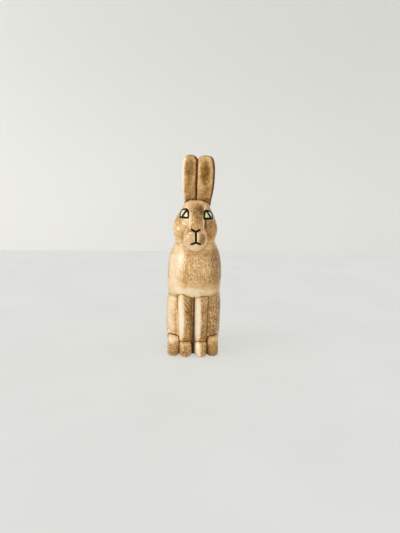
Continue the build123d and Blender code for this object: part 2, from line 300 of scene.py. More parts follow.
def smooth_step(value, low, high):
    t = np.clip((value - low) / (high - low), 0, 1)
    return t * t * (3 - 2 * t)


def blend(first, second, reach):
    """The lower of two distances, rounded where they differ by less than the reach."""
    near = np.clip(1 - np.abs(first - second) / reach, 0, 1)
    return np.minimum(first, second) - near * near * reach / 4


def along(plan, level):
    """The sections' sizes at any level and their slopes, on cubic arcs through the given sections."""
    knots, values = plan[:, 0], plan[:, 1:]
    slopes = np.gradient(values, knots, axis=0)
    place = np.clip(level, knots[0], knots[-1])
    cell = np.clip(np.searchsorted(knots, place) - 1, 0, len(knots) - 2)
    width = (knots[cell + 1] - knots[cell])[:, None]
    t = (place - knots[cell])[:, None] / width
    low, high = values[cell], values[cell + 1]
    rise, fall = slopes[cell] * width, slopes[cell + 1] * width
    drop = high - low
    first, second = 3 * drop - 2 * rise - fall, rise + fall - 2 * drop
    return (
        low + t * (rise + t * (first + t * second)),
        (rise + t * (2 * first + 3 * t * second)) / width,
    )


def distance(form, points):
    """How far outside a form each point is, to first order.

    The point's radius in the oval of its own level, where the edge is 1, less 1, is divided by
    the length of that value's gradient, the slope along the axis included. The ends are capped.
    """
    local = points @ form["axes"].T
    if "radii" in form:
        scaled = (local - form["centre"]) / form["radii"]
        r = np.linalg.norm(scaled, axis=1) + 1e-9
        return (r - 1) * r / (np.linalg.norm(scaled / form["radii"], axis=1) + 1e-9)
    level = local[:, 2]
    size, slope = along(form["plan"], level)
    x = local[:, 0] - size[:, 3]
    y = local[:, 1] - size[:, 4]
    half = size[:, 0]
    if "slot" in form:
        run = size[:, 1] - half
        over = np.sign(y) * np.maximum(np.abs(y) - run, 0)
        reach = np.hypot(x, over)
        share = np.abs(over) / (reach + 1e-9)
        lean = -(slope[:, 0] + (slope[:, 1] - slope[:, 0]) * share)
        gap = (reach - half) / np.sqrt(1 + lean**2)
    else:
        front = y < 0
        deep = np.where(front, size[:, 1], size[:, 2])
        deep_slope = np.where(front, slope[:, 1], slope[:, 2])
        power = form.get("power", 2.0)
        u, v = np.abs(x) / half, np.abs(y) / deep
        r = (u**power + v**power) ** (1 / power) + 1e-9
        fade = r ** (1 - power)
        gx = np.sign(x) * u ** (power - 1) / half * fade
        gy = np.sign(y) * v ** (power - 1) / deep * fade
        gz = -(u**power / half * slope[:, 0] + v**power / deep * deep_slope) * fade
        gz = gz - gx * slope[:, 3] - gy * slope[:, 4]
        gap = (r - 1) / np.sqrt(gx**2 + gy**2 + gz**2 + 1e-12)
    plan = form["plan"]
    for beyond in (level - plan[-1, 0], plan[0, 0] - level):
        gap = -blend(-gap, -beyond, form["cap"])
    return gap


def hand_swell(points):
    """The slight unevenness of hand-finished clay: three long waves, under a fifth of a millimetre."""
    x, y, z = points.T
    return (
        0.07 * np.sin(x / 5.1 + 0.9 * np.sin(z / 11.0))
        + 0.06 * np.sin(z / 6.3 + y / 9.0)
        + 0.05 * np.sin((x + z) / 3.7 + y / 5.0)
    )


def gaps_to(names, points):
    return {name: distance(FORMS[name][0], points) for name in names}


def skin(gaps, points):
    """The glazed surface: all the forms joined with rounded creases, and rounded off at the floor."""
    joined = None
    for name, gap in gaps.items():
        reach = FORMS[name][1]
        if name == "skull":
            reach = reach + (NAPE_REACH - reach) * smooth_step(points[:, 1], -4.0, 12.0)
        joined = gap if joined is None else blend(joined, gap, reach)
    return -blend(-(joined - hand_swell(points)), points[:, 2], FLOOR_ROUNDING)


def near_forms(points, margin=6.0):
    """The forms that come near some of the points."""
    some = points[:: max(1, len(points) // 4000)]
    return [name for name in FORMS if distance(FORMS[name][0], some).min() < margin]


def skin_slope(names, points, step=0.02):
    """The skin's value and its gradient by small steps along each axis."""
    gaps = gaps_to(names, points)
    value = skin(gaps, points)
    slope = np.empty_like(points)
    for axis in range(3):
        moved = points.copy()
        moved[:, axis] += step
        slope[:, axis] = (skin(gaps_to(names, moved), moved) - value) / step
    return gaps, value, slope


# How settle works: its steps and the longest of them, how much deeper a point goes for the square
# of the difference and the largest difference that counts, and how deep inside a neighbour a
# point begins to stay and stays altogether
SETTLE_STEPS, LONGEST_STEP = 5, 1.2
DIP, DIP_END = 0.12, 6.0
STAY_FROM, STAY_FULL = 1.3, 3.8


def settle(points, own):
    """Draws a form's own surface onto the common skin.

    Each point goes down the skin's gradient until it lies on it. Where another form stands
    further out, the point goes a little deeper, by the square of the difference, so that the
    surfaces meet without a step. Points deep inside a neighbour stay. Returns the points, the
    outward direction, and each neighbour's distance less the form's own.
    """
    names = sorted(set(near_forms(points)) | set(own), key=list(FORMS).index)
    others = [name for name in names if name not in own]
    start = points.copy()
    deep = None
    for _ in range(SETTLE_STEPS):
        gaps, value, slope = skin_slope(names, points)
        mine = np.minimum.reduce([gaps[name] for name in own])
        rest = np.minimum.reduce([gaps[name] for name in others]) if others else mine + 9
        if deep is None:
            deep = -value
        dip = DIP * np.clip(mine - rest, 0, DIP_END) ** 2
        step = np.clip((value + dip) / (slope**2).sum(1), -LONGEST_STEP, LONGEST_STEP)
        points = points - step[:, None] * slope
    stay = np.clip((deep - STAY_FROM) / (STAY_FULL - STAY_FROM), 0, 1)[:, None]
    points = points + stay * (start - points)
    gaps, value, slope = skin_slope(names, points)
    mine = np.minimum.reduce([gaps[name] for name in own])
    outward = slope / np.linalg.norm(slope, axis=1)[:, None]
    margins = {name: gaps[name] - mine for name in others}
    return points, outward, margins


# Meshes: grids of rows and columns


def outwards(vertices, quads, centres):
    """Whether the quads face away from the centres, by the sum of their areas' lean outwards."""
    corners = vertices[quads]
    across = np.cross(corners[:, 2] - corners[:, 0], corners[:, 3] - corners[:, 1])
    return (across * (corners.mean(1) - centres)).sum() > 0


def new_mesh(name, vertices, quads, triangles):
    """A smooth mesh of quads and triangles, from points in millimetres."""
    mesh = bpy.data.meshes.new(name)
    mesh.vertices.add(len(vertices))
    mesh.vertices.foreach_set("co", (vertices * MM).astype(np.float32).ravel())
    loops = np.concatenate([quads.ravel(), triangles.ravel()])
    sizes = np.concatenate([np.full(len(quads), 4), np.full(len(triangles), 3)])
    mesh.loops.add(len(loops))
    mesh.loops.foreach_set("vertex_index", loops.astype(np.int32))
    mesh.polygons.add(len(sizes))
    mesh.polygons.foreach_set("loop_start", (np.cumsum(sizes) - sizes).astype(np.int32))
    mesh.polygons.foreach_set("use_smooth", np.ones(len(sizes), bool))
    mesh.update(calc_edges=True)
    mesh.validate()
    return mesh


def closed_at_ends(rows):
    """A grid's points and faces. The first and the last row shrink to one point, their mean."""
    count, columns = rows.shape[:2]
    poles = rows[[0, -1]].mean(1)
    vertices = np.concatenate([poles[:1], rows[1:-1].reshape(-1, 3), poles[1:]])
    ring = 1 + np.arange((count - 2) * columns).reshape(count - 2, columns)
    after = np.roll(ring, -1, axis=1)
    quads = np.stack([ring[:-1], after[:-1], after[1:], ring[1:]], -1).reshape(-1, 4)
    bottom = np.stack([after[0], ring[0], np.zeros_like(ring[0])], -1)
    top = np.stack([ring[-1], after[-1], np.full_like(ring[-1], len(vertices) - 1)], -1)
    triangles = np.concatenate([bottom, top])
    if not outwards(vertices, quads, vertices.mean(0)):
        quads, triangles = quads[:, ::-1], triangles[:, ::-1]
    return vertices, quads, triangles


def grid_mesh(name, rows, marks=None):
    """A mesh closed at both ends, with a value of each mark at each point."""
    count, columns = rows.shape[:2]
    mesh = new_mesh(name, *closed_at_ends(rows))
    for label, values in (marks or {}).items():
        values = values.reshape(count, columns)
        ends = values[[0, -1]].mean(1)
        flat = np.concatenate([ends[:1], values[1:-1].ravel(), ends[1:]])
        mark = mesh.attributes.new(label, "FLOAT", "POINT")
        mark.data.foreach_set("value", flat.astype(np.float32))
    return mesh


def piece(name, mesh, nodes, slot):
    """Puts a finished mesh in the scene in place of the plain solids that it stands for."""
    made = bpy.data.objects.new(name, mesh)
    bpy.context.scene.collection.objects.link(made)
    made.data.materials.append(LOOKS[slot])
    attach(made, "root")
    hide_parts(*nodes)


# Impressed marks: short strokes pressed into the soft clay before glazing
STROKES = np.random.default_rng(11).random((64, 128, 4))


def pressed(along_mm, level_mm, around, cell, length, width, lean, spread):
    """How deep the pressed strokes are at each point, from 0 to 1.

    The surface is cut into cells, as many round the form as fit. Each cell has one stroke with
    its own offset and lean, and a point takes the deepest of the strokes of the nine cells near it.
    """
    count = max(3, round(around / cell[0]))
    pitch = around / count
    column, row = np.floor(along_mm / pitch), np.floor(level_mm / cell[1])
    deepest = np.zeros_like(along_mm)
    for i in (-1, 0, 1):
        for j in (-1, 0, 1):
            draw = STROKES[(row + j).astype(int) % 64, (column + i).astype(int) % count % 128]
            cx = (column + i + 0.5 + 0.55 * (draw[:, 0] - 0.5)) * pitch
            cz = (row + j + 0.5 + 0.5 * (draw[:, 1] - 0.5)) * cell[1]
            angle = lean + spread * (draw[:, 2] - 0.5)
            ux, uz = np.sin(angle), np.cos(angle)
            dx, dz = along_mm - cx, level_mm - cz
            half = length * (0.35 + 0.3 * draw[:, 3])
            run = np.clip(dx * ux + dz * uz, -half, half)
            off = np.hypot(dx - run * ux, dz - run * uz)
            deepest = np.maximum(deepest, np.clip(1 - off / width, 0, 1))
    return deepest * deepest * (3 - 2 * deepest)


# Where the brown oxide lies thick or thin, with painted light and shade among it: place and radii on
# the leaning axis, and amount. Some patches paint sides turned to the lamp paler and sides turned
# from it browner, as marked below
OXIDE_AND_PAINTED_LIGHT = (
    ((-8, 0, 165), (6.5, 9, 13), 0.27),
    ((8, 0, 165), (6.5, 9, 13), 0.3),
    ((-8, 0, 189), (5.4, 9, 13.5), 0.26),
    ((8, 0, 186), (5.4, 9, 14), 0.3),
    ((4.8, -20, 147.5), (2.5, 9, 5.5), 0.3),
    ((0, -20, 149), (7, 12, 6.5), 0.1),
    ((1.8, -24, 142), (5, 12, 17), 0.26),
    ((-6.7, -26, 138), (1, 14, 10), -0.3),
    ((7.1, -28, 138), (0.9, 14, 10), -0.3),
    # Painted shade: a dark streak down the side of the bridge turned from the lamp
    ((9.2, -24, 138.5), (1.2, 14, 9), 0.62),
    # Partly painted shade: the left cheek, turned from the lamp, made browner
    ((15, -18, 129), (7.5, 12, 10), 0.28),
    ((-5.6, -36, 120.6), (3.2, 6, 4.4), 0.04),
    ((7, -36, 121), (4, 6, 5.6), 0.38),
    ((0.6, -36, 121), (2.5, 6, 6), -0.34),
    ((0, -34, 110.5), (8, 8, 3.8), -0.21),
    ((3, -34, 92), (15, 14, 19), -0.04),
    # Partly painted shade and light: the chest's left side, away from the lamp, browner, its right side
    # paler
    ((22, -14, 90), (10.5, 20, 26), 0.23),
    ((-20, -22, 92), (9.5, 16, 28), -0.22),
    # Painted light: a pale band under the chest, where light comes up from the table
    ((-3, -34, 66.8), (28, 18, 4.8), -0.22),
    # Partly painted light and shade: the right flank, towards the lamp, paler, the left flank browner
    ((-24, -18, 40), (6, 24, 24), -0.2),
    ((24, -14, 40), (7, 24, 24), 0.12),
    # Painted highlight: pale strips on the lamp side of each front leg, beside browner strips
    ((-13.5, -28, 38), (3.9, 9, 26), -0.5),
    ((-5.2, -28, 40), (3.6, 9, 22), 0.06),
    ((3.5, -28, 38), (3.7, 9, 26), -0.6),
    ((10.3, -28, 40), (3.6, 9, 20), 0.04),
    # Painted shade between the front legs, over glaze pooled in the gap
    ((0, -28, 26), (1.1, 9, 34), 0.85),
    ((-7.6, -36, 7), (3.4, 9, 6), 0.08),
    ((4.4, -36, 8), (3.6, 9, 9), -0.4),
    ((-21, -34, 17), (7, 9, 3.6), -0.2),
    ((-20, -34, 6), (5, 9, 6), 0.08),
    ((20, -34, 7), (7, 9, 9), 0.12),
    ((0, 36, 92), (30, 14, 30), 0.1),
    ((0, 16, 136), (16, 8, 16), 0.1),
)
# Where the glaze is thick and goes olive: on the upper half of each ear and on the brow
OLIVES = (
    ((-8, -3, 189.5), (4.9, 9, 11), 0.9),
    ((7.9, -3, 186.5), (4.8, 9, 11.5), 1.3),
    ((4.8, -20, 147.5), (2.3, 9, 5.2), 1.5),
)


def patches(points, table, amount):
    """An even amount with soft patches of more and less: each is flat inside and falls off fast."""
    local = points @ STANCE.T
    total = np.full(len(points), amount)
    for place, radii, strength in table:
        total += strength * np.exp(-((((local - place) / radii) ** 2).sum(1) ** 2))
    return total


# How pale the glaze breaks on the rim of a form beside a neighbour
RIM = {
    "muzzle": {"chest": 2.0, "left_cheek": 1.7, "right_cheek": 1.4, "skull": 0.8},
    "skull": {"left_ear": 1.3, "right_ear": 1.3, "bridge": 0.4},
    "left_cheek": {"chest": 0.4},
    "right_cheek": {"chest": 0.4},
    "left_haunch": {"left_hind_foot": 0.7},
    "right_haunch": {"right_hind_foot": 1.1},
}
# Half width of the dark line in a crease, and of the fainter band round it with its share of the
# darkness, then how far from the crease a pale rim lies and its half width
LINE_REACH, BAND_REACH, BAND_SHARE = 0.8, 2.6, 0.3
RIM_PLACE, RIM_REACH = 1.8, 0.8
# The oxide's even amount
OXIDE = 0.42


def glaze_marks(points, own, margins):
    """The glaze's marks at each point: oxide with painted light and shade, pooled glaze with painted
    shade, and rim, and how far it is from creases.
    """
    pool_and_painted_shade, rim = np.zeros(len(points)), np.zeros(len(points))
    clear = np.full(len(points), 9.0)
    for name, margin in margins.items():
        outside = np.maximum(margin, 0)
        strength = max(FORMS[each][2] for each in (name, *own))
        pool_and_painted_shade = np.maximum(pool_and_painted_shade, strength * np.exp(-((outside / LINE_REACH) ** 2)))
        pool_and_painted_shade = np.maximum(pool_and_painted_shade, BAND_SHARE * strength * np.exp(-((outside / BAND_REACH) ** 2)))
        edge = RIM.get(own[0], {}).get(name, 0)
        rim = np.maximum(rim, edge * np.exp(-(((outside - RIM_PLACE) / RIM_REACH) ** 2)))
        clear = np.minimum(clear, outside)
    marks = {"oxide_and_painted_light": patches(points, OXIDE_AND_PAINTED_LIGHT, OXIDE), "olive": patches(points, OLIVES, 0.0)}
    return {**marks, "pool_and_painted_shade": pool_and_painted_shade, "rim": rim}, clear


# Where the painted shade on an edge turned from the lamp starts, as a share of the turn, and how dark it
# is
EAR_SHADE, HEAD_SHADE = (0.34, 1.3), (0.68, 0.45)


def painted_shade_edge(outward, start, strength):
    """Painted shade, over some brown glaze: a dark line along a front edge that faces the rabbit's left
    and upwards, away from the lamp.
    """
    turned = outward @ np.array([0.88, 0.0, 0.47])
    front = smooth_step(-outward[:, 1], -0.05, 0.25)
    return strength * front * smooth_step(turned, start, start + 0.3)


def spread_levels(low, high, pitch):
    """Evenly spaced levels about one pitch apart."""
    return np.linspace(low, high, max(4, round((high - low) / (pitch * COARSE))))


def oval_rows(form, levels, columns):
    """Rows of points on a form's own ovals, front half and back half of each as its depths say.

    The two end rows are closed by rows that draw in on the same level, to a point.
    """
    angle = 2 * np.pi * np.arange(columns) / columns
    size, _ = along(form["plan"], levels)
    draw_in = np.array([0.0, 0.35, 0.65, 0.85, 0.95])
    order = np.concatenate([np.zeros(5, int), np.arange(len(levels)), np.full(5, len(levels) - 1)])
    scale = np.concatenate([draw_in, np.ones(len(levels)), draw_in[::-1]])
    size, level = size[order], levels[order]
    wide = np.cos(angle)[None] * scale[:, None]
    deep = np.sin(angle)[None] * scale[:, None]
    x = size[:, 3:4] + size[:, 0:1] * wide
    if "slot" in form:
        run = size[:, 1:2] - size[:, 0:1]
        y = size[:, 4:5] + size[:, 0:1] * deep + run * np.clip(deep * 2.5, -1, 1)
    else:
        y = size[:, 4:5] + np.where(deep < 0, size[:, 1:2], size[:, 2:3]) * deep
    local = np.stack(np.broadcast_arrays(x, y, level[:, None]), -1)
    return local @ form["axes"], angle, level


# Way round the form, cell of one stroke, its length and width, its lean, the spread of the lean,
# and the levels where the strokes begin, are full, begin to fade and end
TEXTURE = {
    "chest": (190, (2.1, 2.3), 2, 0.64, 0, 1.7, (72, 79, 104, 113)),
    "loin": (190, (2.4, 2.8), 2.7, 0.70, 0.5, 0.6, (5, 9, 54, 60)),
    "bridge": (50, (1.9, 1.9), 0.9, 0.50, 0, 2.4, (127, 131, 147.5, 152.5)),
    "left_foreleg": (48, (2.2, 2.7), 3, 0.68, 0.6, 0.5, (12, 16, 57.5, 62.5)),
    "right_foreleg": (48, (2.2, 2.7), 3, 0.68, -0.6, 0.5, (12, 16, 57.5, 62.5)),
    "left_haunch": (140, (2.4, 2.8), 2.7, 0.72, -0.6, 0.6, (12, 16, 57.5, 62.5)),
    "right_haunch": (140, (2.4, 2.8), 2.7, 0.72, 0.6, 0.6, (12, 16, 53.5, 58.5)),
    "hind_foot": (110, (2.2, 2.3), 2, 0.72, 0, 2.4, (-0.5, 3.5, 12.5, 17.5)),
    "forepaw": (52, (2, 2.2), 1.9, 0.70, 0, 2.4, (-0.5, 3.5, 11.5, 16.5)),
}


def pattern(name, angle, level):
    """The pressed strokes of one form, or none where the clay was left smooth."""
    row = TEXTURE.get(name, TEXTURE.get(name.partition("_")[2]))
    if row is None:
        return np.zeros(len(level) * len(angle))
    around, cell, length, width, lean, spread, (begin, full, fade, end) = row
    s, z = np.meshgrid(angle / (2 * np.pi) * around, level)
    s, z = s.ravel(), z.ravel()
    deep = pressed(s, z, around, cell, length, width, lean, spread)
    return deep * smooth_step(z, begin, full) * (1 - smooth_step(z, fade, end))


PRESS_DEPTH = 0.26
# Strokes keep this share of their depth where the oxide is thin or painted light makes the glaze pale
THIN_SHARE = 0.25
# Half width of the strip beside a crease that has no strokes, and where they are full
SMOOTH_STRIP = (0.5, 2.0)


def press(points, outward, deep, clear, marks):
    """Presses the strokes into the skin: shallower where the oxide is thin or painted light makes it
    pale, and none in creases.
    """
    thick = smooth_step(marks["oxide_and_painted_light"], 0.15, 0.5)
    deep = deep * smooth_step(clear, *SMOOTH_STRIP) * (THIN_SHARE + (1 - THIN_SHARE) * thick)
    marks["pressed"] = deep
    points = points - outward * (deep * PRESS_DEPTH)[:, None]
    points[:, 2] = np.maximum(points[:, 2], 0)
    return points


# Distance between a grid's columns
COLUMN_PITCH = 0.52


def clay_mesh(name, own, levels, around):
    """One glazed form, drawn onto the common skin, with its pressed strokes and glaze marks."""
    form = FORMS[own][0]
    parts = [own] + (["left_lobe", "right_lobe"] if own == "muzzle" else [])
    columns = max(12, round(around / (COLUMN_PITCH * COARSE)))
    rows, angle, level = oval_rows(form, levels, columns)
    points, outward, margins = settle(rows.reshape(-1, 3), parts)
    marks, clear = glaze_marks(points, parts, margins)
    if own.endswith("ear"):
        # Painted shade on the ear's edge turned from the lamp
        marks["pool_and_painted_shade"] = np.maximum(marks["pool_and_painted_shade"], painted_shade_edge(outward, *EAR_SHADE))
        # Painted light: the ear's edge turned towards the lamp is made paler
        marks["rim"] = np.maximum(marks["rim"], smooth_step(-outward[:, 0], 0.5, 0.8))
    # Painted shade on the edges of the head and the left cheek turned from the lamp
    if own in ("skull", "left_cheek"):
        marks["pool_and_painted_shade"] = np.maximum(marks["pool_and_painted_shade"], painted_shade_edge(outward, *HEAD_SHADE))
    points = press(points, outward, pattern(own, angle, level), clear, marks)
    return grid_mesh(name, points.reshape(rows.shape), marks)


# The wall of the hollow body, and the levels where its cavity and its outside end
WALL = 4.97
CAVITY_TOP, TORSO_TOP = 116.0, 121.4
# The curls on the chest are pressed less deeply than the strokes elsewhere
CURL_SHARE = 0.8


def torso_mesh(name):
    """The hollow body as one wall: down the cavity, round the foot rim and up the outside.

    The outside starts from the wider of the two body forms at each level, with close rows under
    the chest's overhang, and is drawn onto the common skin. The cavity lies one wall inside.
    """
    loin, chest = FORMS["loin"][0]["plan"], FORMS["chest"][0]["plan"]
    columns = round(360 / COARSE)
    angle = 2 * np.pi * np.arange(columns) / columns
    front = np.sin(angle) < 0

    def radius(plan, levels, inset):
        size, _ = along(plan, levels)
        half = size[:, 0:1] - inset
        deep = np.where(front, size[:, 1:2] - inset, size[:, 2:3] - inset)
        return 1 / np.sqrt((np.cos(angle) / half) ** 2 + (np.sin(angle) / deep) ** 2)

    def ring(levels, inset):
        low, high = radius(loin, levels, inset), radius(chest, levels, inset)
        share = smooth_step(levels, 59.5, 62.5)[:, None]
        reach = low + share * np.maximum(high - low, 0)
        above = smooth_step(levels, 64, 70)[:, None]
        return reach + above * (high - reach)

    spans = ((-1.5, 59.0, 0.56), (59.2, 63.0, 0.27), (63.5, TORSO_TOP, 0.56))
    outer = np.concatenate([spread_levels(*span) for span in spans])
    inner = np.linspace(CAVITY_TOP, 0.0, 16)
    reach = ring(outer, 0.0)
    top = reach[-1:] * np.array([0.8, 0.5, 0.2, 0.0])[:, None]
    cavity = ring(inner, WALL)
    cap = cavity[:1] * np.array([0.0, 0.4, 0.8])[:, None]
    radii = np.concatenate([cap, cavity, reach, top])
    level = np.concatenate([np.full(3, CAVITY_TOP), inner, outer, np.full(4, TORSO_TOP + 0.2)])
    local = np.broadcast_arrays(radii * np.cos(angle), radii * np.sin(angle), level[:, None])
    rows = np.stack(local, -1) @ STANCE
    inside = len(cap) + len(inner)
    shape = rows[inside:].shape
    points, outward, margins = settle(rows[inside:].reshape(-1, 3), ["loin", "chest"])
    marks, clear = glaze_marks(points, ["loin", "chest"], margins)
    curls = CURL_SHARE * pattern("chest", angle, level[inside:])
    hatch = pattern("loin", angle, level[inside:])
    rows[inside:] = press(points, outward, curls + hatch, clear, marks).reshape(shape)
    rows[..., 2] = np.maximum(rows[..., 2], 0)
    empty = np.zeros((inside, columns))
    marks = {label: np.concatenate([empty, values.reshape(shape[:2])]) for label, values in marks.items()}
    return grid_mesh(name, rows, marks)


# Eyes, nose and mouth: glaze laid on the face with a brush

FACE = ("chest", "skull", "left_cheek", "right_cheek", "muzzle", "left_lobe", "right_lobe", "bridge")
# Depth of the plane before the nose where each point starts, its steps, and their share of the gap
PLANE_Y, WALKS, STRIDE = -44.0, 60, 0.7


def on_face(places, lift=0.0):
    """Points of the skin straight behind places drawn on a plane before the face, and its normal.

    Each point walks back from before the nose, by the skin's own distance, until it meets it.
    """
    local = np.stack([places[:, 0], np.full(len(places), PLANE_Y), places[:, 1]], -1)
    names = [name for name in FORMS if name in FACE]
    for _ in range(WALKS):
        points = local @ GAZE
        local[:, 1] += STRIDE * skin(gaps_to(names, points), points)
    points = local @ GAZE
    slope = skin_slope(names, points)[2]
    outward = slope / np.linalg.norm(slope, axis=1)[:, None]
    return points + lift * outward, outward


def stroke_rows(places, width, height, closed=False, sides=12):
    """Rows round a brush stroke: an oval bead carried along a line on the face.

    The bead is half sunk in the skin. An open stroke draws in at both ends like a brush's tip, by
    a superellipse of the power 8.
    """
    points, outward = on_face(places)
    if closed:
        tangent = np.roll(points, -1, 0) - np.roll(points, 1, 0)
    else:
        tangent = np.gradient(points, axis=0)
    tangent /= np.linalg.norm(tangent, axis=1)[:, None]
    across = np.cross(tangent, outward)
    across /= np.linalg.norm(across, axis=1)[:, None]
    up = np.cross(across, tangent)
    turn = 2 * np.pi * np.arange(sides) / sides
    half, tall = np.full(len(points), width / 2), np.full(len(points), height)
    if not closed:
        run = np.linspace(0, 1, len(points))
        tip = np.sqrt(np.clip(1 - (2 * np.abs(run - 0.5)) ** 8, 0, 1))
        half, tall = half * tip, tall * tip
    return (
        points[:, None]
        + across[:, None] * (half[:, None] * np.cos(turn))[..., None]
        + up[:, None] * (tall[:, None] * np.sin(turn))[..., None]
    )


def ring_mesh(name, rows):
    """A closed loop of rings, such as the line round an eye."""
    count, sides = rows.shape[:2]
    index = np.arange(count * sides).reshape(count, sides)
    after = np.roll(index, -1, 0)
    quads = np.stack([index, after, np.roll(after, -1, 1), np.roll(index, -1, 1)], -1).reshape(-1, 4)
    vertices = rows.reshape(-1, 3)
    if not outwards(vertices, quads, np.repeat(rows.mean(1), sides, 0)):
        quads = quads[:, ::-1]
    return new_mesh(name, vertices, quads, np.empty((0, 3), int))


def two_strokes_mesh(name, first, second):
    """Two brush strokes that cross, as one mesh."""
    vertices, quads, triangles = closed_at_ends(first)
    more, more_quads, more_triangles = closed_at_ends(second)
    base = len(vertices)
    return new_mesh(
        name,
        np.concatenate([vertices, more]),
        np.concatenate([quads, base + more_quads]),
        np.concatenate([triangles, base + more_triangles]),
    )


def sampled(corners, count):
    """Evenly spaced points on the straight lines from corner to corner."""
    corners = np.array(corners, float)
    run = np.concatenate([[0], np.cumsum(np.linalg.norm(np.diff(corners, axis=0), axis=1))])
    at = np.linspace(0, run[-1], count)
    return np.stack([np.interp(at, run, corners[:, axis]) for axis in range(2)], -1)


# Each eye's nose side, outer side, lower and upper edge, how far in its pupil starts and ends, how
# far in the top of its arc is and the width of the line round it
EYES = {
    1: (7.5, 17.4, 139.0, 148.3, 3.0, 2.3, 2.9, 2.4),
    -1: (6.6, 16.9, 139.4, 149.2, 2.1, 2.9, 4.1, 2.1),
}
# Power of the superellipse, how far inside the edge the line and the pad's rim run, and how far
# inside it the pupil's upper and lower ends are
ARC_POWER, LINE_INSET, PAD_INSET = 2.5, 0.75, 0.7
PUPIL_TOP, PUPIL_FOOT = 1.0, 1.1
# How high the pale dome stands at its middle, how much lower its rim is, and the depth of its back
DOME_HEIGHT, DOME_DROP, PAD_BACK = 0.24, 0.40, 0.5


def eye_contour(side, inset, count):
    """An eye's outline: up the nose side, over the arc and back along its flat bottom.

    Each half of the arc is a superellipse of the power 2.5 about the top's own foot. The corners
    are rounded by averaging.
    """
    inner, outer, bottom, top, _, _, crown, _ = EYES[side]
    turn = np.linspace(0, np.pi, 80)
    before = crown - inset
    behind = outer - inner - crown - inset
    over = np.abs(np.cos(turn)) ** (2 / ARC_POWER)
    x = inner + crown + np.where(turn < np.pi / 2, -before, behind) * over
    y = bottom + inset + (top - bottom - 2 * inset) * np.sin(turn).clip(0) ** (2 / ARC_POWER)
    arc = np.stack([side * x, y], -1)
    line = sampled(np.concatenate([arc, arc[:1]]), 241)[:-1]
    line = np.mean([np.roll(line, shift, axis=0) for shift in range(-5, 6)], axis=0)
    return sampled(np.concatenate([line, line[:1]]), count + 1)[:-1]


def pupil_line(side):
    """The two ends of the stroke across an eye, from its top on the nose side."""
    inner, outer, bottom, top, start, end = EYES[side][:6]
    return (
        np.array([side * (inner + start), top - PUPIL_TOP]),
        np.array([side * (outer - end), bottom + PUPIL_FOOT]),
    )


def eye_pad(name, side):
    """The pale eye: a low dome of glaze within its outline, closed behind under the skin.

    Rings of the outline shrink towards its middle by shares. The dome sinks by the fourth power
    of the share, so that its rim lies under the black line.
    """
    rim = eye_contour(side, PAD_INSET, 72)
    middle = rim.mean(0)
    share = np.array([0.0, 0.3, 0.6, 0.8, 0.92, 1.0, 0.9, 0.5, 0.0])
    lift = DOME_HEIGHT - DOME_DROP * share**4
    lift[-3:] = -PAD_BACK
    rings = [middle + s * (rim - middle) for s in share]
    rows = np.stack([on_face(ring, height)[0] for ring, height in zip(rings, lift)])
    flat = np.concatenate(rings)
    start, end = pupil_line(side)
    run = (end - start) / np.linalg.norm(end - start)
    beside = (flat - start) @ np.array([-run[1], run[0]]) * side
    return grid_mesh(name, rows, {"outer": smooth_step(beside, -0.2, 0.2)})


# Materials, named for the slots that the pieces take

GLAZE, BARE = "speckled_cream_glaze", "unglazed_stoneware"
BLACK, PALE = "black_line_glaze", "pale_eye_glaze"


def linear(code):
    """A colour written as sRGB hex, in linear light."""
    parts = [int(code[i : i + 2], 16) / 255 for i in (1, 3, 5)]
    return [c / 12.92 if c <= 0.04045 else ((c + 0.055) / 1.055) ** 2.4 for c in parts] + [1.0]


def new_material(name):
    """An empty material, and the place on the piece that its patterns read."""
    made = bpy.data.materials.new(name)
    made.use_nodes = True
    made.node_tree.nodes.clear()
    return made, node(made, "TexCoord", {}, "Object")


def node(material, kind, sockets, output=0, stops=(), **settings):
    """Adds a node with its settings and links, and returns the output that is asked for.

    Each socket, by its name or number, gets a value or is linked to another node's output. The
    stops are the places and the sRGB hex colours of a colour ramp.
    """
    tree = material.node_tree
    made = tree.nodes.new("ShaderNode" + kind)
    for key, value in settings.items():
        setattr(made, key, value)
    for key, value in sockets.items():
        if isinstance(value, bpy.types.NodeSocket):
            tree.links.new(value, made.inputs[key])
        else:
            made.inputs[key].default_value = value
    if stops:
        elements = made.color_ramp.elements
        while len(elements) < len(stops):
            elements.new(0.5)
        for element, (place, code) in zip(elements, stops):
            element.position = place
            element.color = linear(code)
    return made.outputs[output] if made.outputs else None


